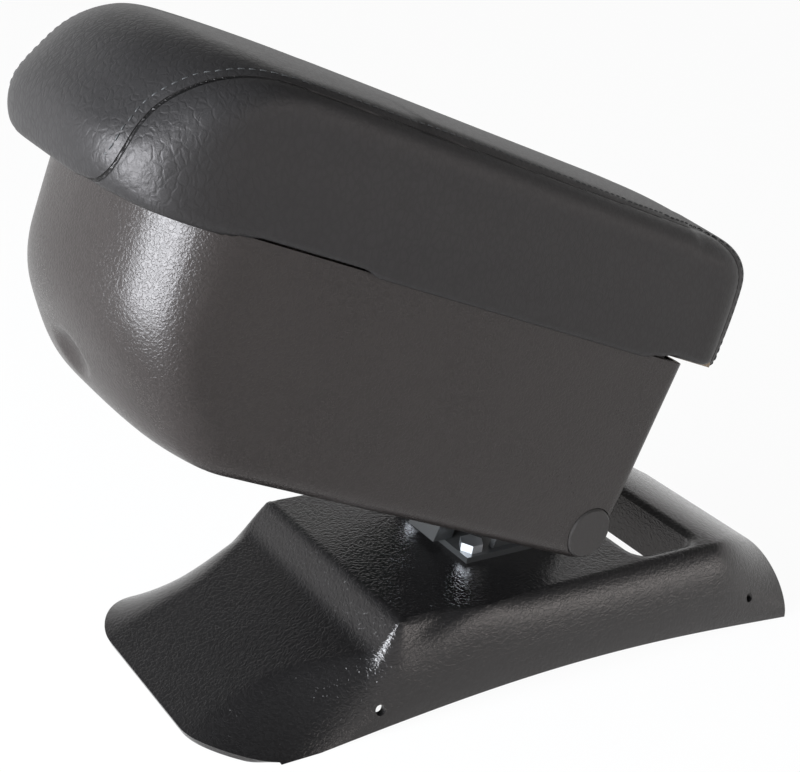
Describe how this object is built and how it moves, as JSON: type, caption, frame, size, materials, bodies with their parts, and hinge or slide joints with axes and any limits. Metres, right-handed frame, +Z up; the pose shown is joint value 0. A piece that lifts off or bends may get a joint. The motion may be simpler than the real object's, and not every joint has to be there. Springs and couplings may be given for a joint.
{
  "type": "car centre armrest",
  "caption": "Padded black lid on a storage box that tilts on a glossy moulded base plate with side flanges and a rear pocket.",
  "frame": {"origin": "on the standing surface, below the middle of the overall box", "axes": "+X to the rear of the car, +Z up, Y across; symmetric about Y = 0"},
  "size_m": [0.3829, 0.146, 0.2829],
  "materials": {
    "base_plastic": "grained, glossy black",
    "bracket_black": "black coat",
    "zinc": "zinc plated",
    "spring_steel": "oiled",
    "buffer_rubber": "matt",
    "bush_plastic": "natural",
    "box_plastic": "fine grain, satin black",
    "cap_plastic": "smooth satin black",
    "tray_plastic": "matt dark grey",
    "magnet": "nickel grey",
    "hinge_steel": "black coat",
    "lid_board": "matt black",
    "foam": "open foam",
    "cover": "black, grained, gentle sheen",
    "cover_sides": "black, grained, gentle sheen",
    "lining": "matt dark grey",
    "black_screws": "black"
  },
  "bodies": {
    "base": {"base_plate": "base_plastic", "bracket": "bracket_black", "bracket_bolts": "zinc", "bracket_nuts": "zinc", "backing_plate": "zinc", "rest_buffer": "buffer_rubber", "pivot_shaft": "zinc", "disc_springs": "spring_steel", "plain_washers": "zinc", "outer_washers": "zinc", "lock_nuts": "zinc"},
    "arm": {"box_shell": "box_plastic", "tray": "tray_plastic", "tray_screws": "black_screws", "bush_left": "bush_plastic", "bush_right": "bush_plastic", "cap_left": "cap_plastic", "cap_right": "cap_plastic", "catch_magnet": "magnet", "hinge_leaf_box": "hinge_steel", "hinge_pin": "zinc", "hinge_screws_box": "zinc"},
    "lid": {"lid_board": "lid_board", "lid_foam": "foam", "cover_centre": "cover", "cover_side_left": "cover_sides", "cover_side_right": "cover_sides", "lid_lining": "lining", "lining_screws": "black_screws", "hinge_leaf_lid": "hinge_steel", "hinge_screws_lid": "zinc", "catch_plate": "zinc"}
  },
  "joints": [
    {"name": "armrest_tilt", "type": "hinge", "parent": "base", "child": "arm", "pos_m": [0.0485, 0, 0.072], "axis": [0, 1, 0], "range_deg": [0, 50]},
    {"name": "lid_hinge", "type": "hinge", "parent": "arm", "child": "lid", "pos_m": [0.0925, 0, 0.1414], "axis": [0, 1, 0], "range_deg": [0, 55]}
  ]
}
